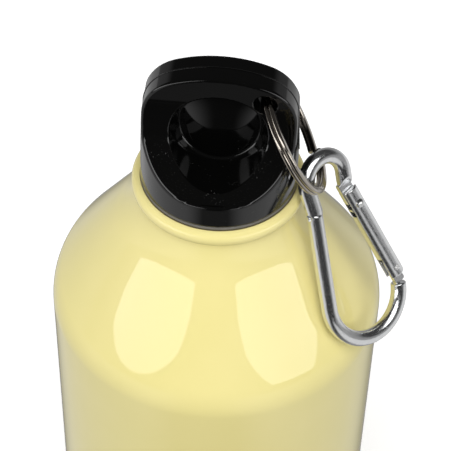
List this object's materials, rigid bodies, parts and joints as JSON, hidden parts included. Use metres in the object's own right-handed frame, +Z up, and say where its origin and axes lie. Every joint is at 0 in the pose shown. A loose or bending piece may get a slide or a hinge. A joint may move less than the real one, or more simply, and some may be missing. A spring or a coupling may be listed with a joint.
{
  "type": "kids water bottle",
  "caption": "Metal drinking bottle with a cone shoulder and a screw cap whose flat fin carries a split ring and a small snap carabiner.",
  "frame": {"origin": "centre of the ring that the bottle stands on", "axes": "+Z up along the bottle's axis, +X along the cap's fin towards the split ring, -Y is the front"},
  "size_m": [0.0781, 0.073, 0.1838],
  "materials": {
    "bottle_paint": "gloss pastel yellow paint",
    "collar_metal": "plain machined",
    "gasket_rubber": "grey silicone",
    "cap_plastic": "black moulded, fine dust and rubs",
    "ring_steel": "nickel plated spring steel",
    "carabiner_metal": "polished",
    "pin_steel": "bright",
    "spring_steel": "bright wire"
  },
  "bodies": {
    "bottle": {"bottle_shell": "bottle_paint", "neck_collar": "collar_metal"},
    "seal": {"cap_gasket": "gasket_rubber"},
    "cap": {"cap_body": "cap_plastic"},
    "ring": {"split_ring": "ring_steel"},
    "carabiner": {"carabiner_frame": "carabiner_metal", "gate_pivot_pin": "pin_steel"},
    "gate": {"carabiner_gate": "carabiner_metal", "gate_latch_pin": "pin_steel", "gate_spring": "spring_steel", "gate_plunger": "pin_steel"}
  },
  "joints": [
    {"name": "cap_lift", "type": "slide", "parent": "bottle", "child": "seal", "axis": [0, 0, 1], "range_m": [0, 0.008]},
    {"name": "cap_turn", "type": "hinge", "parent": "seal", "child": "cap", "pos_m": [0, 0, 0.155], "axis": [0, 0, 1], "range_deg": [0, 720]},
    {"name": "ring_swing", "type": "hinge", "parent": "cap", "child": "ring", "pos_m": [0.0091, 0, 0.178], "axis": [0.121, -0.9905, 0.0652], "range_deg": [0, 210]},
    {"name": "carabiner_swing", "type": "hinge", "parent": "ring", "child": "carabiner", "pos_m": [0.02109, -0.00277, 0.15654], "axis": [0.0113, -0.9651, 0.2616], "range_deg": [0, 8]},
    {"name": "gate_open", "type": "hinge", "parent": "carabiner", "child": "gate", "pos_m": [0.03777, -0.00486, 0.13477], "axis": [0.5954, -0.6166, 0.515], "range_deg": [0, 18], "stiffness_Nm_per_rad": 0.05, "springref_deg": -34.38}
  ],
  "couplings": [
    {"joint": "cap_lift", "follows": "cap_turn", "m_per_rad": 0.00063662}
  ]
}
